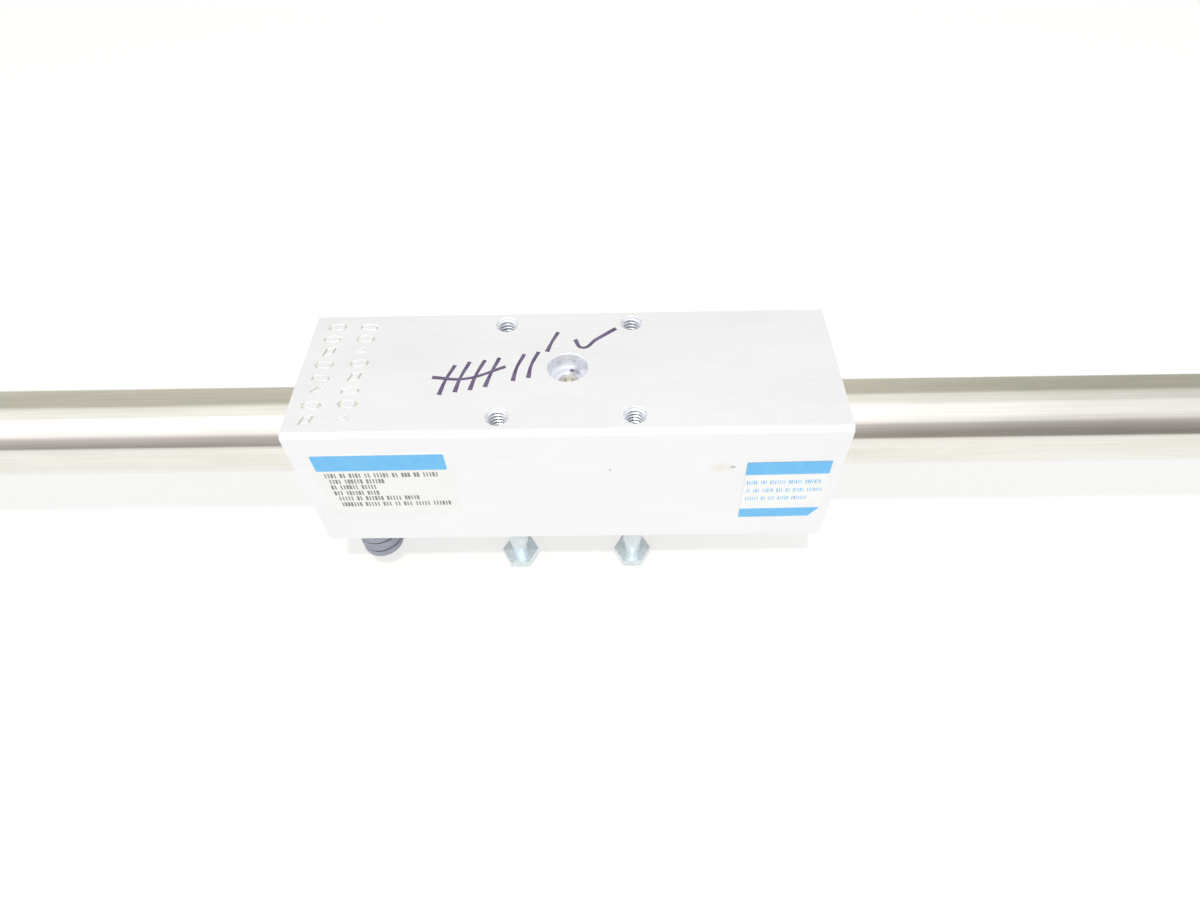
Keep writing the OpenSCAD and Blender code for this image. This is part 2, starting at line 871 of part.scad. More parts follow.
// Screw with a hexagon socket that ties the magnet stack to the block
module yoke_screw() {
    shank_length = recess_floor - fill_r + yoke_screw_hold;
    screw_head_r = yoke_screw_head_d / 2;
    color("lightgray")
        translate([0, 0, recess_floor])
            difference() {
                rotate_extrude()
                    polygon([
                        [0, -shank_length],
                        [yoke_screw_d / 2, -shank_length],
                        [yoke_screw_d / 2, 0],
                        [screw_head_r, 0],
                        [screw_head_r, yoke_screw_head_h - yoke_screw_edge],
                        [screw_head_r - yoke_screw_edge, yoke_screw_head_h],
                        [0, yoke_screw_head_h]
                    ]);
                translate([0, 0, yoke_screw_head_h - socket_depth])
                    cylinder(r = socket_flats / 2 / cos(30), h = socket_depth + 1, $fn = 6);
            }
}

module spacer() {
    color("gainsboro")
        ring(stack_half, bush_x, fill_r, fill_r - spacer_thick, ring_edge);
}

// Plastic bush that runs on the tube, its bore flared at both ends
module bush() {
    r_in = tube_r + running_gap;
    color("ivory")
        turned([
            [r_in + bush_flare, bush_x],
            [fill_r, bush_x],
            [fill_r, end_ring_x],
            [r_in + bush_flare, end_ring_x],
            [r_in, end_ring_x - 2 * bush_flare],
            [r_in, bush_x + 2 * bush_flare]
        ]);
}

// Ring with a shoulder behind the wiper
module end_ring() {
    color("dimgray")
        turned([
            [tube_r + free_gap, end_ring_x],
            [fill_r, end_ring_x],
            [fill_r, circlip_x],
            [wiper_r + seat_gap, circlip_x],
            [wiper_r + seat_gap, end_ring_x + shoulder_thick],
            [tube_r + free_gap, end_ring_x + shoulder_thick]
        ]);
}

// Scraper whose lip leans out towards the end of the carriage
module wiper() {
    x0 = end_ring_x + shoulder_thick;
    lip_x = circlip_x + wiper_proud;
    lip_r = tube_r + running_gap;
    nose_r = wiper_r - wiper_shelf;
    color("dimgray")
        turned([
            [lip_r + wiper_root, x0],
            [wiper_r, x0],
            [wiper_r, circlip_x],
            [nose_r, circlip_x],
            [nose_r - ring_edge, lip_x - fine_edge],
            [lip_r + wiper_tip, lip_x],
            [lip_r, lip_x - wiper_tip],
            [lip_r + wiper_root, circlip_x - wiper_root]
        ]);
}

// Internal circlip with its gap at the bottom and an ear each side of the gap
module circlip() {
    r_in = circlip_r - circlip_width;
    color("slategray")
        along_tube(circlip_x)
            linear_extrude(height = circlip_thick)
                difference() {
                    union() {
                        difference() {
                            circle(r = circlip_r);
                            circle(r = r_in);
                            gap_wedge(2 * circlip_r);
                        }
                        at_ears(r_in)
                            circle(d = ear_d);
                    }
                    at_ears(r_in)
                        circle(d = ear_hole_d);
                }
}

// The sector that the circlip's gap takes out
module gap_wedge(reach) {
    rise = reach * tan(circlip_gap / 2);
    polygon([[0, 0], [reach, -rise], [reach, rise]]);
}

// The circlip's ears stand just inside the gap's two ends
module at_ears(r_in) {
    for (s = [-1, 1])
        rotate(s * circlip_gap / 2)
            translate([r_in + ear_inset, 0])
                children();
}

// One hexagon bolt, head down, its tip at z = bolt_length above the bearing face
module bolt() {
    shank_r = thread_d / 2;
    held_r = bolt_pitch_r - seat_gap;
    translate([0, 0, -bolt_head])
        bevelled_hexagon(bolt_flats, bolt_head - washer_face, true, false);
    translate([0, 0, -washer_face])
        cylinder(d = washer_face_d, h = washer_face);
    rotate_extrude()
        polygon([
            [0, -washer_face],
            [shank_r, -washer_face],
            [shank_r, bolt_exposed],
            [held_r, bolt_exposed],
            [held_r, bolt_length - bolt_tip_edge],
            [held_r - bolt_tip_edge, bolt_length],
            [0, bolt_length]
        ]);
}

// The four bolts that the carriage stands on, their corners along the tube
module carriage_bolts() {
    color("lightsteelblue")
        at_holes()
            translate([0, 0, -block_half - bolt_exposed])
                bolt();
}

// Ribbed rubber buffer pushed into the underside of the block
module rubber_buffer() {
    r = buffer_d / 2;
    rib = buffer_height / 3;
    stem_r = stem_d / 2;
    color("dimgray")
        translate([-buffer_x, -buffer_y, -block_half])
            rotate_extrude()
                polygon(concat(
                    [[0, stem_length], [stem_r - stem_fall, stem_length], [stem_r, stem_length - stem_taper]],
                    [[stem_r, 0]],
                    [for (i = [0 : 2], p = [
                        [-(i == 0 ? rib_edge : buffer_groove), 0],
                        [0, rib_edge],
                        [0, rib - rib_edge],
                        [-(i == 2 ? rib_edge : buffer_groove), rib]
                    ]) [r + p[0], -i * rib - p[1]]],
                    [[0, -buffer_height]]
                ));
}

// ---- Nodes ----

placed() barrel_tube();
for (end = ENDS) {
    placed(end) end_cap();
    placed(end) tube_seal();
    placed(end) cushion_seal();
    placed(end) bumper_ring();
    placed(end) screw_keeper();
    placed(end) mounting_nut();
    placed(end) cushion_screw_seal();
    placed(end) cushion_screw();
    placed(end) piston_head();
    placed(end) piston_seal();
    placed(end) wear_ring();
    placed(end) cushion_spear();
    placed(end) spacer();
    placed(end) bush();
    placed(end) end_ring();
    placed(end) wiper();
    placed(end) circlip();
}
placed() piston_shaft();
for (i = [1 : magnet_count]) {
    placed() inner_magnet(i);
    placed() outer_magnet(i);
}
for (i = [1 : magnet_count + 1]) {
    placed() inner_yoke(i);
    placed() outer_yoke(i);
}
placed() carriage_block();
placed() yoke_screw();
placed() carriage_bolts();
placed() rubber_buffer();
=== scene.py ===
import math
import random

import bmesh
import bpy
from mathutils import Matrix, Vector


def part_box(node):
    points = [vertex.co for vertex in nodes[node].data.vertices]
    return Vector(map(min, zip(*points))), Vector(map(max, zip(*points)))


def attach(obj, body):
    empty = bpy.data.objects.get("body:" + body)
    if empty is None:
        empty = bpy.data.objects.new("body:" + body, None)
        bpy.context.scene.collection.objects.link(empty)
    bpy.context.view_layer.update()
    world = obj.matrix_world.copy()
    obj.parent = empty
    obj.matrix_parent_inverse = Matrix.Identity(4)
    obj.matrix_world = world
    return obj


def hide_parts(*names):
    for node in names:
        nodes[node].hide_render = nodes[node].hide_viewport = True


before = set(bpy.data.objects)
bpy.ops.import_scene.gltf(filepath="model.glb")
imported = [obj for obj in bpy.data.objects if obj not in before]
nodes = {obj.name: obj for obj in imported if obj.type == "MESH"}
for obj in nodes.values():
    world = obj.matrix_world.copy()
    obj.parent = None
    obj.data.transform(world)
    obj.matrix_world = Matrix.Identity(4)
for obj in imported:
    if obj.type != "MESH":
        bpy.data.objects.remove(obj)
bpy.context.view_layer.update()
blockLow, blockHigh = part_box("carriage_block")
tubeLow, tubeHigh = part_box("barrel_tube")
axisZ = (tubeLow.z + tubeHigh.z) / 2
mm = 0.001
touching = 1e-6  # points closer than this, in metres, are one point
close = 0.01 * mm  # what is nearer to a plane than this lies on it
level = math.radians(0.2)  # faces that meet at less than this are one face
upright = (math.radians(90), 0, 0)  # turns a flat piece to face the front
print("frame loaded:", len(nodes), "nodes")


# nodes of a material

def linear(code):
    parts = [int(code[at:at + 2], 16) / 255 for at in (1, 3, 5)]
    return [part / 12.92 if part <= 0.04045 else ((part + 0.055) / 1.055) ** 2.4 for part in parts] + [1]


def addNode(tree, kind, settings=None, links=None):
    node = tree.nodes.new(kind)
    for name, value in (settings or {}).items():
        if name == "stops":  # places on a ramp, each with its colour
            ramp = node.color_ramp
            while len(ramp.elements) < len(value):
                ramp.elements.new(1)
            for stop, (position, colour) in zip(ramp.elements, value):
                stop.position = position
                stop.color = linear(colour)
        elif isinstance(name, int) or name in node.inputs:
            node.inputs[name].default_value = value
        else:
            setattr(node, name, value)
    for name, source in (links or {}).items():
        tree.links.new(source, node.inputs[name])
    return node


def startMaterial(name, settings):
    material = bpy.data.materials.new(name)
    material.use_nodes = True
    tree = material.node_tree
    shader = tree.nodes["Principled BSDF"]
    for socket, value in settings.items():
        shader.inputs[socket].default_value = value
    return material, tree, shader


def paint(node, material):
    node.data.materials.clear()
    node.data.materials.append(material)


def speckle(tree, place, sizes, detail, turn=(0, 0, 0)):  # sizes of a spot in mm along X, Y and Z
    spread = addNode(tree, "ShaderNodeMapping",
                     {"vector_type": "TEXTURE", "Scale": [size * mm for size in sizes],
                      "Rotation": [math.radians(angle) for angle in turn]}, {"Vector": place})
    spots = addNode(tree, "ShaderNodeTexNoise", {"Scale": 1, "Detail": detail}, {"Vector": spread.outputs[0]})
    return spots.outputs["Fac"]


def scratches(tree, place, tone, look):  # sparse straight lines in several directions, on the top face alone
    height = addNode(tree, "ShaderNodeSeparateXYZ", None, {0: place}).outputs["Z"]
    onTop = addNode(tree, "ShaderNodeMath", {"operation": "GREATER_THAN", 1: look["from"] * mm},
                    {0: height}).outputs[0]
    for turn in look["turns"]:
        lines = speckle(tree, place, look["sizes"], 1, (0, 0, turn))
        share = addNode(tree, "ShaderNodeMapRange",
                        {1: look["above"], 2: look["above"] + look["soft"], 4: look["share"]},
                        {0: lines}).outputs[0]
        share = addNode(tree, "ShaderNodeMath", {"operation": "MULTIPLY"}, {0: share, 1: onTop}).outputs[0]
        tone = addNode(tree, "ShaderNodeMix", {"data_type": "RGBA", 7: linear(look["tone"])},
                       {0: share, 6: tone}).outputs[2]
    return tone


def stainAndShadePatch(tree, place, tone, look):  # one patch with soft edges, used for stains and for painted shade; its place and half sizes in mm
    away = addNode(tree, "ShaderNodeMapping",
                   {"vector_type": "TEXTURE", "Location": [along * mm for along in look["at"]],
                    "Scale": [size * mm for size in look["sizes"]]}, {"Vector": place}).outputs[0]
    length = addNode(tree, "ShaderNodeVectorMath", {"operation": "LENGTH"}, {0: away}).outputs["Value"]
    share = addNode(tree, "ShaderNodeMapRange", {1: look["core"], 2: 1, 3: look["share"], 4: 0},
                    {0: length}).outputs[0]
    return addNode(tree, "ShaderNodeMix", {"data_type": "RGBA", 7: linear(look["tone"])},
                   {0: share, 6: tone}).outputs[2]


# finishes: lines and clouds are sizes in mm, along X, Y and Z, of the fine grain and of the slow change of
# tone, and relief is the depth of the grain in mm. Real turning rings, drawing lines and printing grain are
# finer than 0.3 mm. They are drawn that coarse or coarser, because they wouldn't show otherwise.

grain = {"detail": 3, "low": 0.3, "high": 0.7}  # noise keeps to the middle part of its range


def surface(name, look):
    material, tree, shader = startMaterial(name, look["shader"])
    place = addNode(tree, "ShaderNodeTexCoord").outputs["Object"]
    lines = speckle(tree, place, look["lines"], grain["detail"])
    clouds = speckle(tree, place, look["clouds"], grain["detail"])
    mixed = addNode(tree, "ShaderNodeMix", {"Factor": look["cloudShare"]}, {2: lines, 3: clouds}).outputs[0]
    tone = addNode(tree, "ShaderNodeValToRGB", {"stops": look["tones"]}, {"Fac": mixed}).outputs[0]
    if "scratches" in look:
        tone = scratches(tree, place, tone, look["scratches"])
    for patchLook in look.get("stainsAndShade", []):
        tone = stainAndShadePatch(tree, place, tone, patchLook)
    rough = addNode(tree, "ShaderNodeMapRange",
                    {1: grain["low"], 2: grain["high"], 3: look["rough"][0], 4: look["rough"][1]},
                    {0: mixed}).outputs[0]
    relief = addNode(tree, "ShaderNodeBump", {"Strength": 1, "Distance": look["relief"] * mm},
                     {"Height": lines})
    tree.links.new(tone, shader.inputs["Base Color"])
    tree.links.new(rough, shader.inputs["Roughness"])
    tree.links.new(relief.outputs[0], shader.inputs["Normal"])
    return material


drawnStainless = {  # cold drawn stainless tube, polished along its length: a warm mirror streaked lengthwise
    "shader": {"Metallic": 1},
    "lines": (60, 0.5, 0.5), "clouds": (25, 6, 6), "cloudShare": 0.4,
    "tones": [(0.3, "#E1DED6"), (0.7, "#F1EFE9")], "rough": (0.11, 0.17), "relief": 0.0015,
}
satinAluminium = {  # milled aluminium, clear anodised: the oxide skin scatters light, so it is half chalky
    "shader": {"Metallic": 0.4, "IOR": 1.6},
    "lines": (30, 0.4, 0.4), "clouds": (30, 14, 14), "cloudShare": 0.5,
    "tones": [(0.32, "#F3F4F6"), (0.68, "#FAFAFC")], "rough": (0.36, 0.46), "relief": 0.002,
    "scratches": {"turns": (14, 38, 62, -24), "sizes": (16, 0.3, 5), "above": 0.69, "soft": 0.04,
                  "share": 0.6, "from": 73.5, "tone": "#FFFFFF"},
    "stainsAndShade": [
        {"at": (45.6, -26.5, 57.3), "sizes": (4.6, 3, 2.6), "core": 0.2, "share": 0.6, "tone": "#ECE8D8"},
        {"at": (49.2, -26.5, 57.3), "sizes": (1.1, 2, 0.5), "core": 0.5, "share": 0.7, "tone": "#8D8A80"},
        {"at": (12.5, -26.5, 56.6), "sizes": (0.6, 2, 0.6), "core": 0.4, "share": 0.6, "tone": "#9C9C98"},
    ],
}
cutAluminiumAndShade = {  # bare aluminium where the holes were cut: a bluish gleam, with darker patches at the back of the middle recess, partly grime and partly painted shade
    "shader": {"Metallic": 0.5, "IOR": 1.6},
    "lines": (4, 4, 0.3), "clouds": (3, 3, 6), "cloudShare": 0.4,
    "tones": [(0.32, "#E6EAF2"), (0.68, "#FAFBFF")], "rough": (0.24, 0.34), "relief": 0.004,
    "stainsAndShade": [
        # painted shade, with some grime: two dark patches on the back wall of the middle recess
        {"at": (2.6, 4.6, 67.8), "sizes": (2.3, 1.6, 1.2), "core": 0.5, "share": 0.6, "tone": "#8C8888"},
        {"at": (0.9, 4.9, 67.7), "sizes": (1, 1.2, 0.8), "core": 0.5, "share": 0.9, "tone": "#5F5355"},
    ],
}
punchedAluminiumAndShade = {  # metal pushed down by the punches: burnished, darker and warmer on the floors and end walls of the grooves, partly grime and partly painted shade
    "shader": {"Metallic": 0.6, "IOR": 1.6},
    "lines": (0.5, 0.5, 0.5), "clouds": (3, 3, 3), "cloudShare": 0.5,
    "tones": [(0.32, "#DCD8CC"), (0.68, "#EAE7DE")], "rough": (0.3, 0.4), "relief": 0.004,
}
milledAluminium = {  # plain machined aluminium: a full metal gloss, a little darker than the anodised block
    "shader": {"Metallic": 1},
    "lines": (0.4, 12, 12), "clouds": (12, 12, 12), "cloudShare": 0.4,
    "tones": [(0.3, "#DFE0E2"), (0.7, "#EDEEEF")], "rough": (0.26, 0.36), "relief": 0.002,
}
zincPlatedSteel = {  # zinc plate, blue passivated: a milky skin that shades from pale blue to olive
    "shader": {"Metallic": 0.65, "IOR": 1.6},
    "lines": (0.7, 0.7, 5), "clouds": (4, 4, 4), "cloudShare": 0.5,
    "tones": [(0.3, "#D2D8D4"), (0.5, "#DDE7EC"), (0.7, "#E6F1F9")], "rough": (0.15, 0.24), "relief": 0.003,
}
turnedSteel = {  # bright turned steel: fine rings round the work
    "shader": {"Metallic": 1},
    "lines": (0.4, 6, 6), "clouds": (10, 10, 10), "cloudShare": 0.4,
    "tones": [(0.3, "#CFCCC4"), (0.7, "#E6E3DC")], "rough": (0.22, 0.32), "relief": 0.002,
}
springSteel = {  # hardened spring steel, phosphated: dark grey with a dull gleam
    "shader": {"Metallic": 1},
    "lines": (0.5, 0.5, 0.5), "clouds": (6, 6, 6), "cloudShare": 0.5,
    "tones": [(0.3, "#45464A"), (0.7, "#5F6064")], "rough": (0.38, 0.5), "relief": 0.003,
}
yokeSteel = {  # ground soft iron: grey, with grinding lines across the disc
    "shader": {"Metallic": 1},
    "lines": (0.4, 8, 0.4), "clouds": (8, 8, 8), "cloudShare": 0.4,
    "tones": [(0.3, "#A5A6A8"), (0.7, "#BFC0C2")], "rough": (0.28, 0.4), "relief": 0.002,
}
nickelPlatedMagnet = {  # sintered magnet, nickel plated: a faintly yellow bright skin with small pits
    "shader": {"Metallic": 1},
    "lines": (0.6, 0.6, 0.6), "clouds": (5, 5, 5), "cloudShare": 0.5,
    "tones": [(0.3, "#CFC9BB"), (0.7, "#E0DBCE")], "rough": (0.16, 0.26), "relief": 0.002,
}
turnedBrass = {  # free cutting brass off the lathe: yellow with fine rings
    "shader": {"Metallic": 1},
    "lines": (3, 0.3, 3), "clouds": (3, 3, 3), "cloudShare": 0.4,
    "tones": [(0.3, "#D9BE7C"), (0.7, "#EBD596")], "rough": (0.2, 0.3), "relief": 0.002,
}
rubberPaintedSheen = {  # moulded black rubber, coloured light grey violet: painted sheen of its gloss, the lit copy of the rubber
    "shader": {"Metallic": 0, "IOR": 1.52},
    "lines": (0.5, 0.5, 0.5), "clouds": (4, 4, 2), "cloudShare": 0.6,
    "tones": [(0.3, "#8A8E9F"), (0.7, "#A9ADBB")], "rough": (0.42, 0.6), "relief": 0.01,
}
rubberPaintedShade = {  # the same rubber in the grooves, brownish black: painted shade, the shaded copy of the rubber
    "shader": {"Metallic": 0, "IOR": 1.52},
    "lines": (0.5, 0.5, 0.5), "clouds": (4, 4, 2), "cloudShare": 0.6,
    "tones": [(0.3, "#3E3A3E"), (0.7, "#4E494D")], "rough": (0.45, 0.6), "relief": 0.01,
}
nitrileRubber = {  # moulded nitrile rubber: smooth black with a soft gleam
    "shader": {"Metallic": 0, "IOR": 1.52},
    "lines": (0.4, 0.4, 0.4), "clouds": (3, 3, 3), "cloudShare": 0.5,
    "tones": [(0.3, "#232327"), (0.7, "#313136")], "rough": (0.4, 0.55), "relief": 0.006,
}
castPolyurethane = {  # cast polyurethane: cloudy yellow green, slightly waxy
    "shader": {"Metallic": 0, "IOR": 1.5, "Subsurface Weight": 0.15, "Subsurface Scale": 0.002},
    "lines": (0.5, 0.5, 0.5), "clouds": (4, 4, 4), "cloudShare": 0.6,
    "tones": [(0.3, "#B9BE8A"), (0.7, "#CBCF9E")], "rough": (0.35, 0.45), "relief": 0.004,
}
bearingPlastic = {  # turned acetal: off white, with fine turning rings
    "shader": {"Metallic": 0, "IOR": 1.48},
    "lines": (0.35, 5, 5), "clouds": (5, 5, 5), "cloudShare": 0.3,
    "tones": [(0.3, "#E2DCC8"), (0.7, "#EEE9D9")], "rough": (0.4, 0.5), "relief": 0.004,
}
blackPlastic = {  # moulded glass filled nylon: black with a faint flow pattern
    "shader": {"Metallic": 0, "IOR": 1.53},
    "lines": (0.5, 0.5, 0.5), "clouds": (6, 3, 3), "cloudShare": 0.5,
    "tones": [(0.3, "#2A2A2C"), (0.7, "#38383A")], "rough": (0.42, 0.55), "relief": 0.006,
}
filledPlastic = {  # bronze filled slide strip: brown with fine specks of metal
    "shader": {"Metallic": 0, "IOR": 1.4},
    "lines": (0.3, 0.3, 0.3), "clouds": (3, 3, 3), "cloudShare": 0.3,
    "tones": [(0.3, "#5E4632"), (0.7, "#8A6B4A")], "rough": (0.4, 0.55), "relief": 0.004,
}
clearFilm = {  # clear polyester foil over the printing: the block shows through, a little glossier
    "shader": {"Metallic": 0.35, "IOR": 1.57, "Coat Weight": 0.6, "Coat Roughness": 0.12},
    "lines": (8, 8, 8), "clouds": (14, 14, 9), "cloudShare": 0.6,
    "tones": [(0.3, "#F2F2F1"), (0.7, "#F8F8F6")], "rough": (0.25, 0.35), "relief": 0.01,
}
whiteFilm = {  # white vinyl: even white with a soft gloss, slightly wavy where it isn't stuck down
    "shader": {"Metallic": 0, "IOR": 1.54, "Coat Weight": 0.4, "Coat Roughness": 0.15},
    "lines": (6, 6, 6), "clouds": (10, 10, 10), "cloudShare": 0.6,
    "tones": [(0.3, "#FAFAFA"), (0.7, "#FFFFFF")], "rough": (0.3, 0.4), "relief": 0.01,
}
bluePrint = {  # light blue printing ink: even, a little thinner in cloudy patches
    "shader": {"Metallic": 0, "IOR": 1.5, "Coat Weight": 0.4, "Coat Roughness": 0.15},
    "lines": (0.4, 0.4, 0.4), "clouds": (4, 4, 2), "cloudShare": 0.6,
    "tones": [(0.3, "#5CBCF8"), (0.7, "#74C8FC")], "rough": (0.32, 0.42), "relief": 0.002,
}
blackPrintAndEdgeShade = {  # black thermal printing: dark grey, broken up by the ribbon's grain; on the maker label it is also the painted shade along the film's edges
    "shader": {"Metallic": 0, "IOR": 1.5},
    "lines": (0.3, 0.3, 0.3), "clouds": (3, 3, 1), "cloudShare": 0.5,
    "tones": [(0.3, "#707175"), (0.7, "#9C9DA0")], "rough": (0.4, 0.5), "relief": 0.002,
}
penInk = {  # dried felt pen ink: violet black, thinner and lighter where the tip ran fast
    "shader": {"Metallic": 0, "IOR": 1.48},
    "lines": (0.5, 0.5, 0.5), "clouds": (3, 3, 3), "cloudShare": 0.65,
    "tones": [(0.3, "#3C2A4C"), (0.7, "#66557C")], "rough": (0.35, 0.5), "relief": 0.002,
}
thinInk = {  # the middle of each stroke, where the tip left less ink
    "shader": {"Metallic": 0, "IOR": 1.48},
    "lines": (0.5, 0.5, 0.5), "clouds": (3, 3, 3), "cloudShare": 0.65,
    "tones": [(0.3, "#4A3858"), (0.7, "#7E7090")], "rough": (0.35, 0.5), "relief": 0.002,
}
finishes = {  # each finish with the kinds of node that have it
    "drawnStainless": (drawnStainless, "barrel_tube"),
    "satinAluminium": (satinAluminium, "carriage_block"),
    "cutAluminiumAndShade": (cutAluminiumAndShade, ""),
    "punchedAluminiumAndShade": (punchedAluminiumAndShade, ""),
    "milledAluminium": (milledAluminium, "end_cap piston_head cushion_spear spacer"),
    "zincPlatedSteel": (zincPlatedSteel, "mounting_nut carriage_bolts"),
    "turnedSteel": (turnedSteel, "piston_shaft yoke_screw"),
    "springSteel": (springSteel, "screw_keeper circlip"),
    "yokeSteel": (yokeSteel, "inner_yoke outer_yoke"),
    "nickelPlatedMagnet": (nickelPlatedMagnet, "inner_magnet outer_magnet"),
    "turnedBrass": (turnedBrass, "cushion_screw"),
    "rubberPaintedSheen": (rubberPaintedSheen, "rubber_buffer"),
    "rubberPaintedShade": (rubberPaintedShade, ""),
    "nitrileRubber": (nitrileRubber, "tube_seal bumper_ring wiper cushion_screw_seal"),
    "castPolyurethane": (castPolyurethane, "cushion_seal piston_seal"),
    "bearingPlastic": (bearingPlastic, "bush"),
    "blackPlastic": (blackPlastic, "end_ring"),
    "filledPlastic": (filledPlastic, "wear_ring"),
    "clearFilm": (clearFilm, ""),
    "whiteFilm": (whiteFilm, ""),
    "bluePrint": (bluePrint, ""),
    "blackPrintAndEdgeShade": (blackPrintAndEdgeShade, ""),
    "penInk": (penInk, ""),
    "thinInk": (thinInk, ""),
}
materials = {}
for name, (look, kinds) in finishes.items():
    materials[name] = surface(name, look)
    for node in nodes.values():
        kind = node.name.removeprefix("left_").removeprefix("right_").rstrip("_0123456789")
        if kind in kinds.split():
            paint(node, materials[name])
print("finishes made:", len(materials))


# modelling

def clearSelection():
    if bpy.context.mode != "OBJECT":
        bpy.ops.object.mode_set(mode="OBJECT")
    bpy.ops.object.select_all(action="DESELECT")


def pick(piece):
    clearSelection()
    piece.select_set(True)
    bpy.context.view_layer.objects.active = piece


def edit(piece):
    pick(piece)
    bpy.ops.object.mode_set(mode="EDIT")
    bpy.ops.mesh.select_all(action="SELECT")


def choose(kind, wanted):  # selects the points or faces that are wanted; kind is VERT or FACE
    piece = bpy.context.object
    bpy.ops.mesh.select_mode(type=kind)
    bpy.ops.mesh.select_all(action="DESELECT")
    mesh = bmesh.from_edit_mesh(piece.data)
    for part in mesh.verts if kind == "VERT" else mesh.faces:
        part.select_set(wanted(part))
    mesh.select_flush_mode()
    bmesh.update_edit_mesh(piece.data)


# puts the piece's place into its mesh, names it and finishes it; edges flatter than the angle look smooth
def settle(piece, name, body, material, angle=30):
    pick(piece)
    bpy.ops.object.transform_apply(location=True, rotation=True, scale=True)
    bpy.ops.object.shade_smooth_by_angle(angle=math.radians(angle))
    piece.name = name
    piece.data.name = name
    if material:
        paint(piece, material)
    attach(piece, body)


def applyModifier(piece, kind, settings):
    pick(piece)
    made = piece.modifiers.new(kind, kind)
    for name, value in settings.items():
        setattr(made, name, value)
    bpy.ops.object.modifier_apply(modifier=made.name)


def removePiece(piece):
    bpy.data.objects.remove(piece, do_unlink=True)


# threads in the tapped holes

def threadCoil(spot, coil):
    bpy.ops.mesh.primitive_plane_add(size=1, location=spot, rotation=upright)
    piece = bpy.context.object
    bpy.ops.object.transform_apply(location=False, rotation=True, scale=False)
    edit(piece)
    depth = coil["root"] - coil["crest"]
    middle = (coil["root"] + coil["crest"]) / 2
    bpy.ops.transform.resize(value=(depth, 1, coil["rootWidth"]))
    bpy.ops.transform.translate(value=(middle, 0, 0))
    choose("VERT", lambda v: v.co.x < middle)
    bpy.ops.transform.resize(value=(1, 1, coil["crestWidth"] / coil["rootWidth"]))
    bpy.ops.mesh.select_all(action="SELECT")
    bpy.ops.mesh.delete(type="ONLY_FACE")
    applyModifier(piece, "SCREW", {"screw_offset": coil["pitch"], "iterations": coil["turns"],
                                   "steps": coil["steps"], "render_steps": coil["steps"],
                                   "use_smooth_shade": False})
    edit(piece)
    bpy.ops.mesh.remove_doubles(threshold=touching)
    bpy.ops.mesh.fill_holes(sides=4)
    bpy.ops.mesh.select_all(action="SELECT")
    bpy.ops.mesh.normals_make_consistent(inside=False)
    bpy.ops.object.mode_set(mode="OBJECT")
    return piece


def countersink(piece, spot, coil):  # cuts the last turns off along the hole's chamfer, as wide as its mouth
    bpy.ops.mesh.primitive_cone_add(vertices=coil["sides"], radius1=0, radius2=coil["mouth"] * 2,
                                    depth=coil["mouth"] * 2, location=spot)
    cone = bpy.context.object
    applyModifier(piece, "BOOLEAN", {"operation": "DIFFERENCE", "object": cone, "solver": "EXACT"})
    removePiece(cone)


half = 20 * mm  # from the middle of the block to each tapped hole, along and across
tappedHoles = [(-half, -half), (half, -half), (-half, half), (half, half)]
topThread = {  # 1/4 inch, 20 turns an inch
    "pitch": 1.27 * mm, "root": 3.24 * mm, "crest": 2.58 * mm, "rootWidth": 1.1 * mm, "crestWidth": 0.34 * mm,
    "turns": 9, "steps": 32, "depth": 12 * mm, "lift": 0.3 * mm, "mouth": 3.525 * mm, "sides": 64,
}


def makeTopThreads(thread):
    modelCoil = threadCoil(Vector((0, 0, blockHigh.z - thread["depth"] + thread["lift"])), thread)
    countersink(modelCoil, Vector((0, 0, blockHigh.z)), thread)
    for number, (x, y) in enumerate(tappedHoles, 1):
        coil = modelCoil.copy()
        coil.data = modelCoil.data.copy()
        bpy.context.scene.collection.objects.link(coil)
        coil.location.x = x
        coil.location.y = y
        settle(coil, f"top_thread_{number}", "carriage", materials["cutAluminiumAndShade"])
    removePiece(modelCoil)


makeTopThreads(topThread)
print("threads made")


# the carriage block, with generic marks punched at the left end of its top

def copyNode(name):  # a merged copy of a CAD node, to be shaped further
    piece = nodes[name].copy()
    piece.data = nodes[name].data.copy()
    piece.parent = None
    for key in list(piece.keys()):
        del piece[key]
    bpy.context.scene.collection.objects.link(piece)
    edit(piece)
    bpy.ops.mesh.customdata_custom_splitnormals_clear()
    bpy.ops.mesh.remove_doubles(threshold=touching)
    bpy.ops.mesh.dissolve_limited(angle_limit=level)
    bpy.ops.object.mode_set(mode="OBJECT")
    return piece


def joinPieces(parts):
    pick(parts[0])
    for part in parts:
        part.select_set(True)
    bpy.ops.object.join()
    return bpy.context.object


punchMarks = {
    "columns": [-75 * mm, -64.6 * mm], "rows": 8, "pitch": 5.7 * mm, "length": 6.4 * mm, "width": 3.7 * mm,
    "stroke": 0.7 * mm, "floor": 0.2 * mm, "depth": 0.36 * mm, "clear": 0.3 * mm,
    "corners": [4, 8, 3, 6, 8, 4, 6, 8, 3, 8, 6, 4, 8, 3, 8, 6], "wobble": 0.35 * mm, "lean": 5, "seed": 4,
}


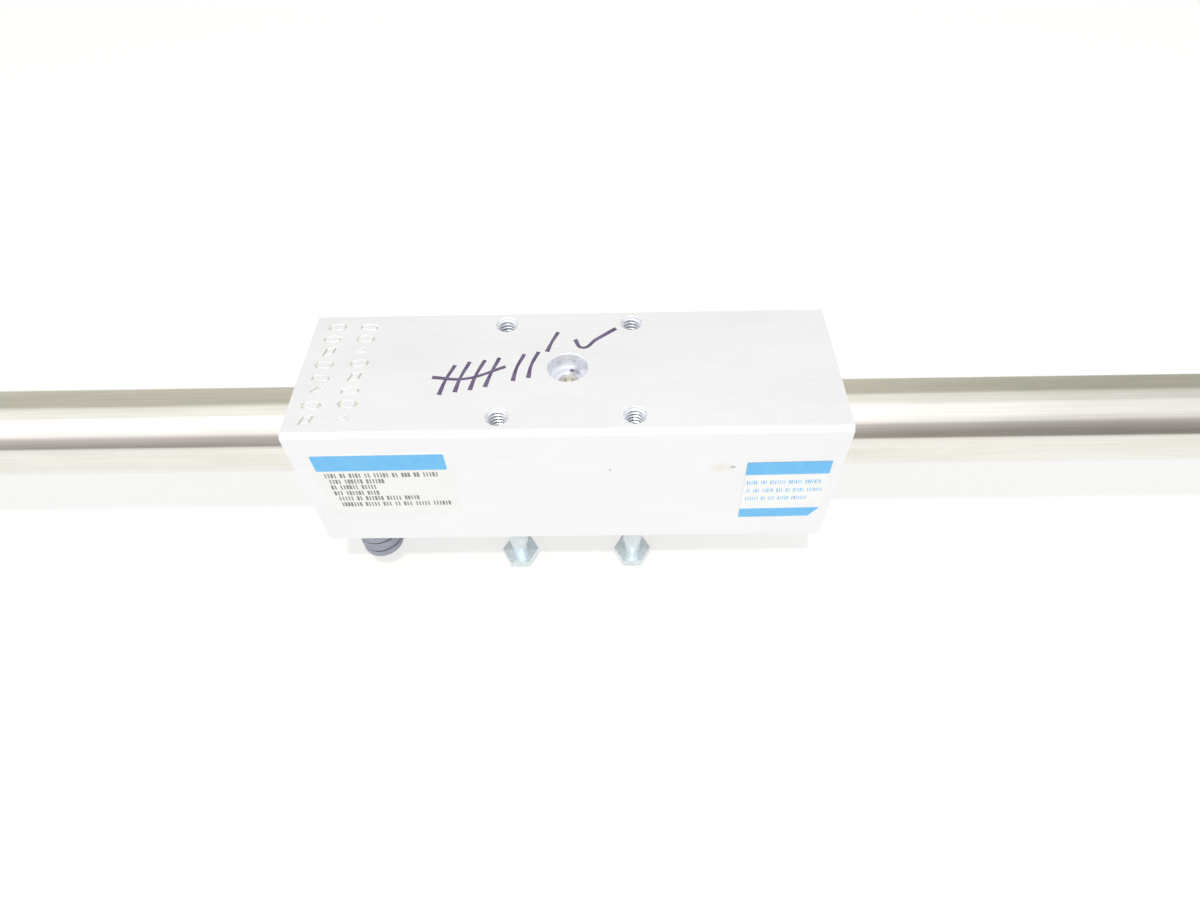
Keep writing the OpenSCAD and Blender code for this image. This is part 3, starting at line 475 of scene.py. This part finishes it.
def punch(spot, corners, turn, marks):  # an outlined figure with sloping walls, pointing down
    bpy.ops.mesh.primitive_circle_add(vertices=corners, radius=0.5, fill_type="NGON", location=spot,
                                      rotation=(0, 0, turn))
    piece = bpy.context.object
    piece.scale = (marks["length"], marks["width"], 1)
    bpy.ops.object.transform_apply(location=False, rotation=False, scale=True)
    edit(piece)
    bpy.ops.mesh.inset(thickness=marks["stroke"])
    bpy.ops.mesh.delete(type="FACE")
    bpy.ops.mesh.select_all(action="SELECT")
    bpy.ops.mesh.extrude_region_move(TRANSFORM_OT_translate={"value": (0, 0, marks["clear"])})
    choose("FACE", lambda f: all(abs(v.co.z) < touching for v in f.verts))
    bpy.ops.mesh.inset(thickness=(marks["stroke"] - marks["floor"]) / 2)
    bpy.ops.transform.translate(value=(0, 0, -marks["depth"]))
    bpy.ops.mesh.select_all(action="SELECT")
    bpy.ops.mesh.normals_make_consistent(inside=False)
    bpy.ops.object.mode_set(mode="OBJECT")
    return piece


blockDetail = {
    "cadChamfer": 1.5 * mm, "chamfer": 0.3 * mm,  # the underside's long edges are only broken, not chamfered
    "holes": [(0, 0, 6.2 * mm)] + [(x, y, 3.6 * mm) for x, y in tappedHoles], "holeDepth": 14 * mm,
    "marksEnd": -55 * mm, "markDepth": 1 * mm,
    "facesUp": 0.95, "facesEnd": 0.6,  # least part of a normal along Z, or along X, for a mark's darker finish of grime and painted shade
}


def sharpenUnderside(block, look):
    high = look["cadChamfer"]
    shift = high - look["chamfer"]
    edit(block)
    choose("VERT", lambda v: abs(v.co.z - blockLow.z - high) < close
           and abs(abs(v.co.y) - blockHigh.y) < close)
    bpy.ops.transform.translate(value=(0, 0, -shift))
    for sign in (-1, 1):
        edge = sign * (blockHigh.y - high)
        choose("VERT", lambda v: abs(v.co.z - blockLow.z) < close and abs(v.co.y - edge) < close)
        bpy.ops.transform.translate(value=(0, sign * shift, 0))
    bpy.ops.object.mode_set(mode="OBJECT")


def finishFaces(piece, material, wanted):
    piece.data.materials.append(material)
    edit(piece)
    choose("FACE", wanted)
    piece.active_material_index = len(piece.data.materials) - 1
    bpy.ops.object.material_slot_assign()
    bpy.ops.object.mode_set(mode="OBJECT")


def inHole(face):  # the anodised skin ends where the holes were cut
    spot = face.calc_center_median()
    below = blockHigh.z - blockDetail["holeDepth"] < spot.z < blockHigh.z - close
    return below and any((spot.xy - Vector((x, y))).length < radius for x, y, radius in blockDetail["holes"])


def inShadedMark(face):  # the floors of the marks and the walls that face the ends, which get grime and painted shade
    spot = face.calc_center_median()
    below = blockHigh.z - blockDetail["markDepth"] < spot.z < blockHigh.z - close
    seen = face.normal.z > blockDetail["facesUp"] or abs(face.normal.x) > blockDetail["facesEnd"]
    return below and spot.x < blockDetail["marksEnd"] and seen


def makeBlock(marks):
    block = copyNode("carriage_block")
    sharpenUnderside(block, blockDetail)
    chance = random.Random(marks["seed"])
    punches = []
    for column, x in enumerate(marks["columns"]):
        for row in range(marks["rows"]):
            y = (row - (marks["rows"] - 1) / 2) * marks["pitch"] + chance.uniform(-1, 1) * marks["wobble"]
            spot = Vector((x + chance.uniform(-1, 1) * marks["wobble"], y, blockHigh.z))
            corners = marks["corners"][column * marks["rows"] + row]
            turn = math.pi / corners if corners == 4 else 0
            turn += math.radians(chance.uniform(-1, 1) * marks["lean"])
            punches.append(punch(spot, corners, turn, marks))
    cutter = joinPieces(punches)
    applyModifier(block, "BOOLEAN", {"operation": "DIFFERENCE", "object": cutter, "solver": "EXACT"})
    removePiece(cutter)
    settle(block, "punched_block", "carriage", materials["satinAluminium"])
    finishFaces(block, materials["cutAluminiumAndShade"], inHole)
    finishFaces(block, materials["punchedAluminiumAndShade"], inShadedMark)
    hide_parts("carriage_block")


makeBlock(punchMarks)
print("block made")


# end caps, with threads cut into their necks and ports

portThread = {  # 1/8 inch pipe, 28 turns an inch
    "pitch": 0.907 * mm, "root": 4.93 * mm, "crest": 4.3 * mm, "rootWidth": 0.8 * mm, "crestWidth": 0.22 * mm,
    "turns": 9, "steps": 32, "depth": 9.2 * mm, "mouth": 5.365 * mm, "sides": 64, "spotFace": 0.4 * mm,
}
neckThread = {  # 30 x 1.5 mm, cut into the free part of the neck
    "pitch": 1.5 * mm, "root": 15.3 * mm, "crest": 14.1 * mm, "rootWidth": 1.75 * mm, "crestWidth": 0.25 * mm,
    "turns": 8, "steps": 32, "underNut": 0.8 * mm,
}


def makeEnd(side, sign, neck, port):
    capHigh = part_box(f"{side}_end_cap")[1]
    nutLow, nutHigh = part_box(f"{side}_mounting_nut")
    screwLow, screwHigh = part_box(f"{side}_cushion_screw")
    nutEnd = nutHigh.x if sign > 0 else nutLow.x
    cutter = threadCoil(Vector((nutEnd - sign * neck["underNut"], 0, axisZ)), neck)
    cutter.rotation_euler = (0, sign * math.radians(90), 0)
    cap = copyNode(f"{side}_end_cap")
    applyModifier(cap, "BOOLEAN", {"operation": "DIFFERENCE", "object": cutter, "solver": "EXACT"})
    removePiece(cutter)
    settle(cap, f"{side}_threaded_cap", "barrel", materials["milledAluminium"])
    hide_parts(f"{side}_end_cap")
    mouth = Vector(((screwLow.x + screwHigh.x) / 2, 0, capHigh.z - port["spotFace"]))
    coil = threadCoil(mouth - Vector((0, 0, port["depth"])), port)
    countersink(coil, mouth, port)
    settle(coil, f"{side}_port_thread", "barrel", materials["milledAluminium"])


for side, sign in (("left", -1), ("right", 1)):
    makeEnd(side, sign, neckThread, portThread)
print("ends made")


# labels on the front of the block

labelStock = {  # thickness of the film and of the ink on it, and how its corners and printing are drawn
    "film": 0.09 * mm, "ink": 0.012 * mm, "cornerSteps": 5, "group": (2, 7), "widths": [1, 1, 1.7],
    "edgeShadeOn": 0.5,
}


def film(width, height, corner, up=0):  # a thin sheet with round corners, facing the front
    bpy.ops.mesh.primitive_plane_add(size=1, location=(0, 0, up), rotation=upright)
    piece = bpy.context.object
    piece.scale = (width, height, 1)
    bpy.ops.object.transform_apply(location=True, rotation=True, scale=True)
    edit(piece)
    bpy.ops.mesh.bevel(offset=corner, segments=labelStock["cornerSteps"], affect="VERTICES")
    bpy.ops.object.mode_set(mode="OBJECT")
    return piece


def thicken(piece, thickness):  # outwards from the block's front face
    edit(piece)
    bpy.ops.mesh.extrude_region_move(TRANSFORM_OT_translate={"value": (0, -thickness, 0)})
    bpy.ops.mesh.select_all(action="SELECT")
    bpy.ops.mesh.normals_make_consistent(inside=False)
    bpy.ops.object.mode_set(mode="OBJECT")


def bars(look):  # rows of short upright strokes in groups, in place of words
    chance = random.Random(look["seed"])
    strokes = []
    for start, z, length in look["rows"]:
        at = start * mm
        while at < (start + length) * mm:
            for _ in range(chance.randint(*labelStock["group"])):
                bpy.ops.mesh.primitive_plane_add(size=1, location=(at, 0, z * mm), rotation=upright)
                stroke = bpy.context.object
                stroke.scale = (look["thick"] * chance.choice(labelStock["widths"]), look["tall"], 1)
                strokes.append(stroke)
                at += look["step"]
            at += look["gap"]
    piece = joinPieces(strokes)
    bpy.ops.object.transform_apply(location=True, rotation=True, scale=True)
    return piece


def tear(piece, line):  # takes a corner off along a ragged line
    spot = Vector(line["at"])
    across = Vector(line["across"])
    edit(piece)
    bpy.ops.mesh.bisect(plane_co=spot, plane_no=across, clear_outer=True)
    choose("VERT", lambda v: abs((v.co - spot).dot(across)) < line["near"])
    bpy.ops.mesh.subdivide(number_cuts=line["cuts"])
    choose("VERT", lambda v: abs((v.co - spot).dot(across)) < line["near"])
    bpy.ops.transform.vertex_random(offset=line["ragged"], uniform=0, normal=0, seed=line["seed"])
    bpy.ops.mesh.select_all(action="SELECT")
    bpy.ops.transform.resize(value=(1, 0, 1), center_override=(0, 0, 0))
    bpy.ops.object.mode_set(mode="OBJECT")


ratingLabel = {  # clear foil at the left, with a blue band and six rows of black printing
    "place": (-56 * mm, 3 * mm), "lean": 0.4, "size": (41.4 * mm, 30 * mm), "corner": 0.8 * mm,
    "bands": {"band": {"up": 11 * mm, "size": (39.6 * mm, 7.2 * mm), "corner": 0.6 * mm}},
    "print": {"rows": [(-17.6, 5.2, 33.5), (-16.9, 2.3, 15.5), (-17.1, -0.5, 12), (-17, -3.5, 10.6),
                       (-16.3, -6.3, 21), (-16.3, -9.4, 32)],
              "thick": 0.42 * mm, "tall": 2.1 * mm, "step": 0.95 * mm, "gap": 0.9 * mm, "seed": 7},
    "finishes": {"sheet": "clearFilm", "band": "bluePrint", "print": "blackPrintAndEdgeShade"},
}
makerLabel = {  # white vinyl at the right, with two blue bands, fine blue printing and a torn corner
    "place": (66.2 * mm, -2 * mm), "lean": 0.9, "size": (25.2 * mm, 28 * mm), "corner": 0.3 * mm,
    "bands": {"band_top": {"up": 11 * mm, "size": (25.2 * mm, 6 * mm), "corner": 0.3 * mm},
              "band_bottom": {"up": -11.7 * mm, "size": (25.2 * mm, 4.6 * mm), "corner": 0.3 * mm,
                              "torn": True}},
    "tear": {"at": (12.6 * mm, 0, -9.8 * mm), "across": (0.831, 0, -0.557), "ragged": 0.2 * mm,
             "near": 0.02 * mm, "cuts": 9, "seed": 5},
    "print": {"rows": [(-11.6, 4.2, 22), (-11.4, 0.1, 20.5), (-11.2, -4, 20)],
              "thick": 0.24 * mm, "tall": 1.8 * mm, "step": 0.7 * mm, "gap": 0.8 * mm, "seed": 11},
    "finishes": {"sheet": "whiteFilm", "band": "bluePrint", "print": "bluePrint", "edge": "blackPrintAndEdgeShade"},
}


def stickOn(piece, name, label, lift, thickness, finish):  # puts a flat piece at its label's place
    x, up = label["place"]
    piece.location = (x, blockLow.y - lift, axisZ + up)
    piece.rotation_euler.y = -math.radians(label["lean"])
    thicken(piece, thickness)
    settle(piece, name, "carriage", materials[finish])


def makeLabel(name, label):
    thick = labelStock["film"]
    ink = labelStock["ink"]
    finish = label["finishes"]
    sheet = film(*label["size"], label["corner"])
    if "tear" in label:
        tear(sheet, label["tear"])
    stickOn(sheet, name, label, 0, thick, finish["sheet"])
    if "edge" in finish:  # painted shade: a dark outline along the film's edges
        finishFaces(sheet, materials[finish["edge"]], lambda f: abs(f.normal.y) < labelStock["edgeShadeOn"])
    for part, look in label["bands"].items():
        band = film(*look["size"], look["corner"], look["up"])
        if "torn" in look:
            tear(band, label["tear"])
        stickOn(band, f"{name}_{part}", label, thick, ink, finish["band"])
    stickOn(bars(label["print"]), f"{name}_print", label, thick, ink, finish["print"])


makeLabel("rating_label", ratingLabel)
makeLabel("maker_label", makerLabel)
print("labels made")


# tally strokes drawn on the top with a felt pen

tally = {
    "width": 1.25 * mm, "flat": 0.05, "press": [1.15, 0.8, 1], "steps": 10, "sides": 3, "middle": 0.8,
    "strokes": [
        [(-38, -11), (-36.8, -5), (-34.6, 1.6)], [(-33.4, -10), (-32.4, -4), (-30.2, 3)],
        [(-29, -9.2), (-27.8, -3), (-25.6, 3.6)], [(-24.6, -8), (-23.2, -2), (-21.2, 4.6)],
        [(-41, -3.6), (-31, -4.4), (-19, 0.6)], [(-16.4, -5.6), (-15.6, 0), (-13.6, 6)],
        [(-11.8, -4.4), (-11.2, 1), (-9.2, 7)], [(-6.6, 7), (-5.4, 11), (-3.4, 16)],
        [(2, 12.4), (4.4, 8.6), (8.6, 12.2), (15, 17.4)],
    ],
}


def makeTally(look):
    strokes = []
    for points in look["strokes"]:
        bpy.ops.curve.primitive_bezier_curve_add()
        stroke = bpy.context.object
        line = stroke.data.splines[0]
        line.bezier_points.add(len(points) - len(line.bezier_points))
        for number, (x, y) in enumerate(points):
            point = line.bezier_points[number]
            point.co = (x * mm, y * mm, 0)
            point.handle_left_type = "AUTO"
            point.handle_right_type = "AUTO"
            point.radius = look["press"][number % len(look["press"])]
        line.resolution_u = look["steps"]
        stroke.data.bevel_depth = look["width"] / 2
        stroke.data.bevel_resolution = look["sides"]
        stroke.data.use_fill_caps = True
        bpy.ops.object.convert(target="MESH")
        strokes.append(bpy.context.object)
    ink = joinPieces(strokes)
    paint(ink, materials["penInk"])
    finishFaces(ink, materials["thinInk"], lambda f: abs(f.normal.z) > look["middle"])
    edit(ink)
    bpy.ops.mesh.remove_doubles(threshold=touching)
    bpy.ops.mesh.normals_make_consistent(inside=False)
    bpy.ops.transform.resize(value=(1, 1, look["flat"]), center_override=(0, 0, 0))
    bpy.ops.transform.translate(value=(0, 0, blockHigh.z))
    bpy.ops.object.mode_set(mode="OBJECT")
    settle(ink, "tally_strokes", "carriage", None)


makeTally(tally)
print("tally made")


# rubber buffer under the left front corner

buffer = {
    "ribs": [3.6 * mm, 4.2 * mm, 2.7 * mm], "groove": 0.6 * mm, "radius": 6.9 * mm, "grooveRadius": 5.7 * mm,
    "sides": 72, "round": 0.28 * mm, "roundSteps": 4, "sharp": 40, "smooth": 50,  # the last two in degrees
}
bufferLow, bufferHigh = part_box("rubber_buffer")
bufferMiddle = ((bufferLow + bufferHigh) / 2).xy
bufferFoot = blockLow.z - sum(buffer["ribs"]) - buffer["groove"] * (len(buffer["ribs"]) - 1)


def inShadedGroove(face):  # the walls and the floor of each groove, which get the painted shade
    spot = face.calc_center_median()
    between = bufferFoot + buffer["groove"] < spot.z < blockLow.z - buffer["groove"]
    return between and (spot.xy - bufferMiddle).length < buffer["radius"] - buffer["round"]


def makeBuffer(look):
    radius = look["radius"]
    inner = look["grooveRadius"]
    bpy.ops.mesh.primitive_circle_add(vertices=look["sides"], radius=radius, fill_type="NGON",
                                      location=(*bufferMiddle, blockLow.z))
    piece = bpy.context.object
    edit(piece)
    for number, rib in enumerate(look["ribs"]):
        if number:
            bpy.ops.mesh.inset(thickness=radius - inner)
            bpy.ops.mesh.extrude_region_move(TRANSFORM_OT_translate={"value": (0, 0, -look["groove"])})
            bpy.ops.mesh.extrude_region_move()
            bpy.ops.transform.resize(value=(radius / inner, radius / inner, 1))
        bpy.ops.mesh.extrude_region_move(TRANSFORM_OT_translate={"value": (0, 0, -rib)})
    bpy.ops.mesh.select_all(action="SELECT")
    bpy.ops.mesh.normals_make_consistent(inside=False)
    applyModifier(piece, "BEVEL", {"width": look["round"], "segments": look["roundSteps"],
                                   "angle_limit": math.radians(look["sharp"])})
    settle(piece, "ribbed_buffer", "carriage", materials["rubberPaintedSheen"], look["smooth"])
    finishFaces(piece, materials["rubberPaintedShade"], inShadedGroove)
    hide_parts("rubber_buffer")


makeBuffer(buffer)
print("buffer made")


# stage, light and camera

table = {
    "size": 400, "end": 0.12,  # in metres; mirrors see the table end this far behind the middle
    "tone": "#F3F2EA", "rough": 0.9, "gloss": 0.2, "glow": 1.12,
    "near": 0.03, "shares": (0.44, 0.66), "rays": 8,  # the glow's share close under things, lowered there as painted shade, and in the open
}
room = {
    "tones": [(0.0, "#8C8782"), (0.07, "#979290"), (0.13, "#A8A2A1"), (0.19, "#BCB6B5"), (0.23, "#ECEBEC"),
              (0.28, "#F4F4F4"), (0.31, "#FFFFFF"), (0.47, "#FFFFFF"), (0.5, "#E8E8E6"), (0.65, "#DCDBD6"),
              (0.7, "#B0AEA3"), (1.0, "#B4B2A8")],
    "tilt": -0.06, "dimFrom": 0.3, "dimTo": 0.55, "levels": (1.41, 1.07),  # dimmer far to the right
    "even": "#FCFDFF", "evenLevel": 0.7, "backdrop": "#FCFCFA", "backdropLevel": 1,
}
lamp = {"place": (0, -0.374, 1.04), "size": 0.06, "energy": 5}
view = {
    "azimuth": 1.178, "elevation": 50.174, "roll": -1.687, "distance": 263.41 * mm,
    "target": Vector((9.11, 0, 34.27)) * mm, "lens": 22.92, "sensor": 36, "nearest": 0.01,
}


def makeFloor(look):
    bpy.ops.mesh.primitive_plane_add(size=look["size"], location=(0, 0, 0))
    floor = bpy.context.object
    floor.name = "floor"
    edit(floor)
    bpy.ops.mesh.bisect(plane_co=(0, look["end"], 0), plane_no=(0, 1, 0))
    choose("FACE", lambda f: f.calc_center_median().y > look["end"])
    bpy.ops.mesh.separate(type="SELECTED")
    bpy.ops.object.mode_set(mode="OBJECT")
    behind = [piece for piece in bpy.context.selected_objects if piece != floor][0]
    behind.name = "floorBehind"
    behind.visible_glossy = False  # mirrors see the darker room past the end of the table
    material, tree, shader = startMaterial("paleTable", {"Roughness": look["rough"],
                                                         "Base Color": linear(look["tone"]),
                                                         "Specular IOR Level": look["gloss"]})
    glow = addNode(tree, "ShaderNodeEmission", {"Color": linear("#FFFFFF"), "Strength": look["glow"]})
    ray = addNode(tree, "ShaderNodeLightPath").outputs
    seen = ray["Is Camera Ray"]
    for other in ("Is Glossy Ray", "Is Transmission Ray"):
        seen = addNode(tree, "ShaderNodeMath", {"operation": "MAXIMUM"}, {0: seen, 1: ray[other]}).outputs[0]
    # painted shade: the floor's glow fades close under things, darkening the floor there
    near = addNode(tree, "ShaderNodeAmbientOcclusion",
                   {"Distance": look["near"], "samples": look["rays"]}).outputs["AO"]
    share = addNode(tree, "ShaderNodeMapRange", {3: look["shares"][0], 4: look["shares"][1]},
                    {0: near}).outputs[0]
    share = addNode(tree, "ShaderNodeMath", {"operation": "MULTIPLY"}, {0: seen, 1: share}).outputs[0]
    both = addNode(tree, "ShaderNodeMixShader", None, {0: share, 1: shader.outputs[0], 2: glow.outputs[0]})
    tree.links.new(both.outputs[0], tree.nodes["Material Output"].inputs["Surface"])
    for part in (floor, behind):
        part.data.materials.append(material)


def makeRoom(look):  # mirrors see tones by direction, from the front horizon over the top to the back one
    world = bpy.data.worlds.new("room")
    bpy.context.scene.world = world
    world.use_nodes = True
    tree = world.node_tree
    way = addNode(tree, "ShaderNodeTexCoord").outputs["Generated"]
    axes = addNode(tree, "ShaderNodeSeparateXYZ", None, {0: way}).outputs
    toFront = addNode(tree, "ShaderNodeMath", {"operation": "MULTIPLY", 1: -1}, {0: axes["Y"]}).outputs[0]
    height = addNode(tree, "ShaderNodeMath", {"operation": "MAXIMUM", 1: 0}, {0: axes["Z"]}).outputs[0]
    angle = addNode(tree, "ShaderNodeMath", {"operation": "ARCTAN2"}, {0: height, 1: toFront}).outputs[0]
    turn = addNode(tree, "ShaderNodeMath", {"operation": "DIVIDE", 1: math.pi}, {0: angle}).outputs[0]
    turn = addNode(tree, "ShaderNodeMath", {"operation": "MULTIPLY_ADD", 1: look["tilt"]},
                   {0: axes["X"], 2: turn}).outputs[0]
    colour = addNode(tree, "ShaderNodeValToRGB", {"stops": look["tones"]}, {"Fac": turn}).outputs[0]
    ray = addNode(tree, "ShaderNodeLightPath").outputs
    mirrorRay = addNode(tree, "ShaderNodeMath", {"operation": "MAXIMUM"},
                        {0: ray["Is Glossy Ray"], 1: ray["Is Transmission Ray"]}).outputs[0]
    strength = addNode(tree, "ShaderNodeMapRange",
                       {1: look["dimFrom"], 2: look["dimTo"], 3: look["levels"][0], 4: look["levels"][1]},
                       {0: axes["X"]}).outputs[0]
    mirrored = tree.nodes["Background"]
    tree.links.new(strength, mirrored.inputs["Strength"])
    tree.links.new(colour, mirrored.inputs["Color"])
    even = addNode(tree, "ShaderNodeBackground",
                   {"Color": linear(look["even"]), "Strength": look["evenLevel"]})
    both = addNode(tree, "ShaderNodeMixShader", None,
                   {0: mirrorRay, 1: even.outputs[0], 2: mirrored.outputs[0]})
    backdrop = addNode(tree, "ShaderNodeBackground",
                       {"Color": linear(look["backdrop"]), "Strength": look["backdropLevel"]})
    whole = addNode(tree, "ShaderNodeMixShader", None,
                    {0: ray["Is Camera Ray"], 1: both.outputs[0], 2: backdrop.outputs[0]})
    tree.links.new(whole.outputs[0], tree.nodes["World Output"].inputs["Surface"])


def makeLamp(look):
    bpy.ops.object.light_add(type="AREA", location=look["place"])
    ceiling = bpy.context.object
    ceiling.name = "ceilingLamp"
    ceiling.data.shape = "DISK"
    ceiling.data.size = look["size"]
    ceiling.data.energy = look["energy"]
    toLamp = Vector(ceiling.location) - Vector((0, 0, axisZ))
    ceiling.rotation_euler = toLamp.to_track_quat("Z", "Y").to_euler()


def makeCamera(look):
    azimuth, elevation, roll = (math.radians(look[name]) for name in ("azimuth", "elevation", "roll"))
    back = Vector((math.sin(azimuth) * math.cos(elevation), -math.cos(azimuth) * math.cos(elevation),
                   math.sin(elevation)))
    across = Vector((0, 0, 1)).cross(back).normalized()
    up = back.cross(across)
    side = math.cos(roll) * across + math.sin(roll) * up
    top = math.cos(roll) * up - math.sin(roll) * across
    bpy.ops.object.camera_add()
    camera = bpy.context.object
    camera.data.lens = look["lens"]
    camera.data.sensor_width = look["sensor"]
    camera.data.clip_start = look["nearest"]
    placed = Matrix((side, top, back)).transposed().to_4x4()
    placed.translation = look["target"] + back * look["distance"]
    camera.matrix_world = placed
    bpy.context.scene.camera = camera


makeFloor(table)
makeRoom(room)
makeLamp(lamp)
makeCamera(view)
bpy.context.scene.view_settings.view_transform = "Standard"
print("stage made")
